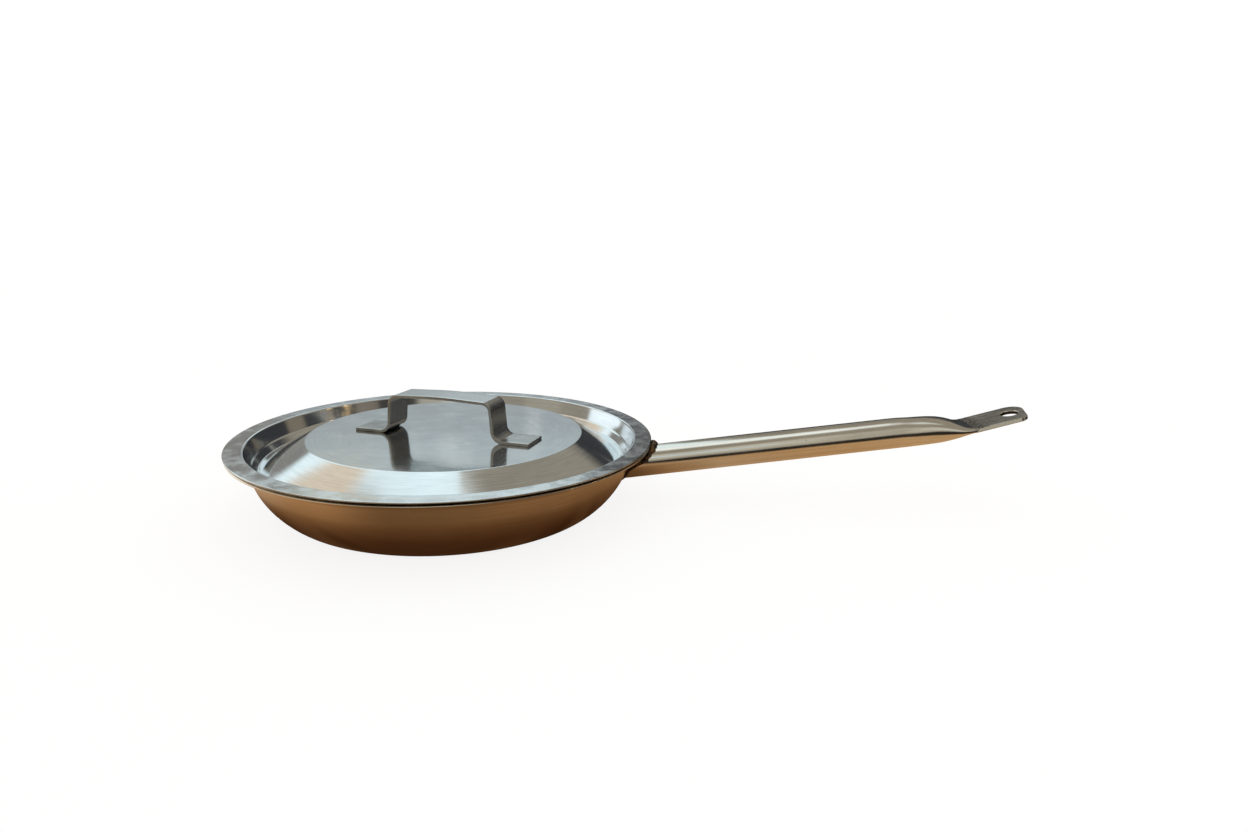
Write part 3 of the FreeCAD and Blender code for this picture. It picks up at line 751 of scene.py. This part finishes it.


# the pan's warm base colour outside is painted reflection of the brown worktop under it
pan_mat = steel("pan_steel_worn_painted_reflection", (0.60, 0.545, 0.47), 0.20, ring_lines(2600.0), 0.0000040, 0.00010, spread=0.05, scratch=0.25, pit=0.75, tint=pan_inside_and_painted_reflection)
lid_mat = steel("lid_steel_polished", (0.66, 0.69, 0.70), 0.125, ring_lines(2400.0), 0.0000030, 0.00006, spread=0.05, scratch=0.8, extra=lid_extra)
strap_mat = steel("strap_steel_brushed", (0.535, 0.55, 0.55), 0.25, strap_lines(2600.0), 0.000004, 0.00004, spread=0.035, scratch=0.3, extra=strap_extra)
tube_mat = steel("handle_steel_polished", (0.66, 0.645, 0.60), 0.13, along_x_lines(2200.0), 0.0000035, 0.00008, spread=0.05, scratch=0.5, pit=0.6, extra=tongue_extra)

# weld: burnt, lumpy, with straw and blue heat colours
w = Mat("weld_metal_burnt")
w.bsdf.inputs["Metallic"].default_value = 1.0
n1 = w.noise(w.obj, 420.0, 4.0, 0.65)
n2 = w.noise(w.obj, 1500.0, 3.0, 0.6)
n3 = w.noise(w.obj, 180.0, 2.0, 0.5)
c = w.mix(w.span(n1, 0.38, 0.62), (0.035, 0.028, 0.024), (0.17, 0.125, 0.085))
c = w.mix(w.f("MULTIPLY", w.span(n3, 0.56, 0.66), 0.7), c, (0.34, 0.21, 0.09))
c = w.mix(w.f("MULTIPLY", w.span(n3, 0.30, 0.42, 1.0, 0.0), 0.5), c, (0.05, 0.06, 0.09))
w.put(w.bsdf.inputs["Base Color"], c)
w.put(w.bsdf.inputs["Roughness"], w.span(n2, 0.3, 0.7, 0.28, 0.6))
w.put(w.bsdf.inputs["Normal"], w.bump(w.f("ADD", n1, w.f("MULTIPLY", n2, 0.4)), 0.0005, 0.8))
weld_mat = w.m

for ob, mat in ((pan, pan_mat), (lid, lid_mat), (strap, strap_mat), (tube, tube_mat), (weld, weld_mat)):
    ob.data.materials.clear()
    ob.data.materials.append(mat)
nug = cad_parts["lid_spot_welds"]
for s in range(max(1, len(nug.material_slots))):
    if not nug.material_slots:
        nug.data.materials.append(weld_mat)
    else:
        nug.material_slots[s].material = weld_mat

# ------------------------------------------------------------------ floor, and what the polished steel mirrors
fl = bmesh.new()
vs = [fl.verts.new(p) for p in ((-6, -4, 0), (6, -4, 0), (6, 10, 0), (-6, 10, 0))]
fl.faces.new(vs)
floor = make_object("floor", fl, smooth=False)
floor.location.z = -0.0003
fm = Mat("floor_pale")
fm.bsdf.inputs["Roughness"].default_value = 0.9
fm.bsdf.inputs["Specular IOR Level"].default_value = 0.0
fm.put(fm.bsdf.inputs["Base Color"], fm.mix(fm.noise(fm.obj, 3.0, 2.0, 0.5), (0.12, 0.12, 0.1195), (0.13, 0.13, 0.1295)))
fm.bsdf.inputs["Emission Color"].default_value = (1.0, 0.995, 0.99, 1.0)
fm.bsdf.inputs["Emission Strength"].default_value = 0.87
floor.data.materials.append(fm.m)
floor.visible_glossy = False

# a warm board under the pan that only reflections see, as if it stood on a wooden worktop
bd = bmesh.new()
bmesh.ops.create_circle(bd, cap_ends=True, radius=1.2, segments=96)
board = make_object("mirrored_board", bd, smooth=False)
board.location.z = -0.0012
bm_ = Mat("mirrored_board_light")
em = bm_.t.nodes.new("ShaderNodeEmission")
ramp = bm_.t.nodes.new("ShaderNodeValToRGB")
rr = bm_.radius()
bm_.put(ramp.inputs[0], bm_.f("DIVIDE", rr, 0.8, clamp=True))
# painted shadow: near black under the pan, lightening outward past its foot to warm wood
wood_and_painted_shadow_stops = [(0.105, (0.022, 0.008, 0.002)), (0.135, (0.06, 0.022, 0.007)), (0.16, (0.17, 0.08, 0.03)), (0.19, (0.42, 0.23, 0.10)), (0.23, (0.60, 0.385, 0.21)),
         (0.32, (0.62, 0.36, 0.165)), (0.44, (0.74, 0.46, 0.23)), (0.56, (0.60, 0.38, 0.19))]
els = ramp.color_ramp.elements
while len(els) > 1:
    els.remove(els[-1])
els[0].position, els[0].color = wood_and_painted_shadow_stops[0][0], wood_and_painted_shadow_stops[0][1] + (1.0,)
for pos, colr in wood_and_painted_shadow_stops[1:]:
    e = els.new(pos)
    e.color = colr + (1.0,)
grain = bm_.noise(bm_.vec(bm_.f("MULTIPLY", bm_.x, 3.0), bm_.f("MULTIPLY", bm_.y, 40.0), 0.0), 1.0, 3.0, 0.5)
wood = bm_.mix(bm_.span(grain, 0.3, 0.7, 0.0, 0.25), ramp.outputs[0], (0.25, 0.13, 0.06))
# a table's edge in front and behind, and to the sides
ay = bm_.f("ABSOLUTE", bm_.y)
beside_handle = bm_.span(bm_.x, 0.12, 0.17)
narrow = bm_.f("MULTIPLY", bm_.span(ay, 0.105, 0.175), beside_handle)
wide = bm_.f("MAXIMUM", bm_.span(ay, 0.24, 0.36), bm_.span(bm_.f("ABSOLUTE", bm_.x), 0.50, 0.66))
# lighter on the left, in the pan's own shade in front
wood = bm_.mix(bm_.f("MULTIPLY", bm_.span(bm_.x, -0.165, -0.10, 1.0, 0.0), 0.24), wood, (0.86, 0.69, 0.53))
front = bm_.f("MULTIPLY", bm_.f("MULTIPLY", bm_.span(bm_.x, -0.10, -0.03), bm_.span(bm_.x, 0.20, 0.28, 1.0, 0.0)), bm_.span(bm_.y, -0.16, -0.11, 1.0, 0.0))
wood = bm_.mix(bm_.f("MULTIPLY", front, 0.46), wood, (0.055, 0.026, 0.010))
bm_.put(em.inputs["Color"], bm_.mix(bm_.f("MAXIMUM", narrow, wide), wood, (0.03, 0.024, 0.018)))
em.inputs["Strength"].default_value = 1.0
bm_.t.links.new(em.outputs[0], bm_.out.inputs[0])
bm_.t.nodes.remove(bm_.bsdf)
board.data.materials.append(bm_.m)
board.visible_camera = False
board.visible_diffuse = False
board.visible_transmission = False
board.visible_volume_scatter = False
board.visible_shadow = False

# ------------------------------------------------------------------ light: a plain white surround, with soft bright and dark areas for the steel to mirror
world = bpy.data.worlds.new("studio")
bpy.context.scene.world = world
world.use_nodes = True
wt = world.node_tree
wt.nodes.clear()


class Sky(Mat):
    def __init__(self, tree):
        self.t = tree
        co = tree.nodes.new("ShaderNodeTexCoord")
        sep = tree.nodes.new("ShaderNodeSeparateXYZ")
        tree.links.new(co.outputs["Generated"], sep.inputs[0])
        self.x, self.y, self.z = sep.outputs
        flat = self.f("SQRT", self.f("ADD", self.f("MULTIPLY", self.x, self.x), self.f("MULTIPLY", self.y, self.y)))
        flat = self.f("MAXIMUM", flat, 0.0001)
        self.hx, self.hy = self.f("DIVIDE", self.x, flat), self.f("DIVIDE", self.y, flat)
        self.el = self.f("MULTIPLY", self.f("ARCTAN2", self.z, flat), 180 / math.pi)

    def patch(self, below, az, half, soft, lo, hi, esoft, colour, strength=1.0):
        """A soft area of light round the direction az, degrees from +X towards +Y, between two elevations."""
        a = math.radians(az)
        d = self.f("ADD", self.f("MULTIPLY", self.hx, math.cos(a)), self.f("MULTIPLY", self.hy, math.sin(a)))
        d = self.f("MULTIPLY", self.f("ARCCOSINE", self.f("MINIMUM", d, 1.0)), 180 / math.pi)
        k = self.span(d, half - soft / 2, half + soft / 2, 1.0, 0.0)
        k = self.f("MULTIPLY", k, self.span(self.el, lo - esoft / 2, lo + esoft / 2))
        k = self.f("MULTIPLY", k, self.span(self.el, hi - esoft / 2, hi + esoft / 2, 1.0, 0.0))
        if strength != 1.0:
            k = self.f("MULTIPLY", k, strength)
        return self.mix(k, below, colour)


s = Sky(wt)
# the room: dim below, a bright ceiling above
room = s.mix(s.span(s.el, 71.0, 82.0), (0.34, 0.30, 0.24), (1.12, 1.18, 1.16))
# right-hand wall and its dark foot
room = s.patch(room, 20.0, 66.0, 5.0, -30.0, 27.0, 8.0, (0.04, 0.042, 0.045))
# bright wall beyond the pan, dimmer towards its foot, with darker posts
room = s.patch(room, 118.2, 29.3, 3.0, 19.0, 79.0, 5.0, (1.0, 1.16, 1.2))
room = s.patch(room, 79.0, 12.5, 3.0, 25.0, 55.0, 5.0, (0.28, 0.26, 0.22))
room = s.patch(room, 103.0, 16.0, 4.0, -20.0, 17.8, 1.6, (0.48, 0.545, 0.57))
room = s.patch(room, 103.0, 17.0, 4.0, -20.0, 14.9, 2.2, (0.37, 0.405, 0.42))
room = s.patch(room, 123.0, 11.5, 4.0, -20.0, 21.0, 5.0, (0.27, 0.26, 0.24))
room = s.patch(room, 108.5, 2.5, 3.0, 16.8, 21.0, 1.5, (0.62, 0.58, 0.46))
room = s.patch(room, 88.0, 2.2, 1.5, 12.0, 22.0, 3.0, (0.16, 0.16, 0.16))
room = s.patch(room, 101.0, 0.7, 0.5, 15.9, 16.4, 0.3, (1.0, 1.05, 1.05))
room = s.patch(room, 100.0, 0.9, 0.5, 16.6, 17.0, 0.3, (1.0, 1.05, 1.05))
room = s.patch(room, 94.7, 0.45, 0.3, 14.25, 14.6, 0.2, (1.3, 1.3, 1.25))
room = s.patch(room, 103.2, 0.5, 0.4, 16.9, 17.3, 0.3, (1.6, 1.65, 1.6))
# warm area further left
room = s.patch(room, 158.0, 9.0, 5.0, 24.0, 79.0, 8.0, (0.66, 0.58, 0.49))
room = s.patch(room, 147.5, 9.0, 5.0, 24.0, 54.0, 8.0, (0.88, 0.73, 0.57))
# window low on the left
room = s.patch(room, 152.5, 17.5, 4.0, -1.0, 22.0, 5.0, (1.15, 1.25, 1.3))
room = s.patch(room, -150.0, 14.0, 6.0, 14.0, 34.0, 6.0, (0.42, 0.38, 0.30))
# behind the camera: light wall over a dark foot, a darker stretch to its right
room = s.patch(room, -70.0, 12.0, 5.0, 4.0, 50.0, 6.0, (0.47, 0.43, 0.35))
room = s.patch(room, -94.0, 17.0, 6.0, 14.0, 50.0, 12.0, (0.62, 0.58, 0.48))
room = s.patch(room, -94.0, 12.0, 8.0, 27.0, 36.0, 5.0, (0.70, 0.80, 0.86))
room = s.patch(room, -40.0, 19.0, 6.0, 8.0, 40.0, 6.0, (0.06, 0.055, 0.05))
room = s.patch(room, -88.0, 42.0, 12.0, -30.0, 4.5, 6.0, (0.03, 0.027, 0.023))
# two small lamps
room = s.patch(room, 30.0, 7.0, 4.0, 6.0, 19.0, 4.0, (0.24, 0.20, 0.15))
room = s.patch(room, -24.0, 8.0, 4.0, 14.0, 27.0, 4.0, (0.24, 0.20, 0.16))
room = s.patch(room, 13.0, 4.0, 3.0, 27.0, 42.0, 4.0, (0.42, 0.37, 0.30))
room = s.patch(room, 20.0, 48.0, 4.0, 18.4, 19.6, 0.8, (0.50, 0.48, 0.44))
room = s.patch(room, 4.0, 1.6, 1.0, 22.4, 25.6, 1.0, (10.0, 6.8, 3.2))
room = s.patch(room, -9.0, 1.1, 0.8, 23.4, 25.6, 0.8, (9.0, 6.0, 2.8))
# below the horizon, past the board
room = s.mix(s.span(s.el, -3.0, -0.5, 1.0, 0.0), room, (0.03, 0.026, 0.022))
lp = wt.nodes.new("ShaderNodeLightPath")
colour = s.mix(lp.outputs["Is Glossy Ray"], (1.0, 1.0, 1.0), room)
bg = wt.nodes.new("ShaderNodeBackground")
wo = wt.nodes.new("ShaderNodeOutputWorld")
s.put(bg.inputs["Color"], colour)
bg.inputs["Strength"].default_value = 1.12
wt.links.new(bg.outputs[0], wo.inputs[0])

# ------------------------------------------------------------------ camera, level with a person sitting at the table
YAW, PITCH, ROLL = 0.0346, 0.2384, 0.0179
fwd = Vector((math.sin(YAW) * math.cos(PITCH), math.cos(YAW) * math.cos(PITCH), -math.sin(PITCH)))
right = Vector((math.cos(YAW), -math.sin(YAW), 0))
up = right.cross(fwd)
r2 = right * math.cos(ROLL) + up * math.sin(ROLL)
u2 = up * math.cos(ROLL) - right * math.sin(ROLL)
cam = bpy.data.cameras.new("camera")
cam.sensor_width = 36.0
cam.lens = 804.95 / 1248 * 36.0
cam.shift_x = -0.5 / 1248
cam.shift_y = 0.5 / 1248
cam.clip_start = 0.01
camera = bpy.data.objects.new("camera", cam)
rot = Matrix((r2, u2, -fwd)).transposed().to_4x4()
camera.matrix_world = Matrix.Translation(Vector((0.09624, -0.50450, 0.1795))) @ rot
bpy.context.scene.collection.objects.link(camera)
bpy.context.scene.camera = camera
bpy.context.scene.view_settings.view_transform = "Standard"
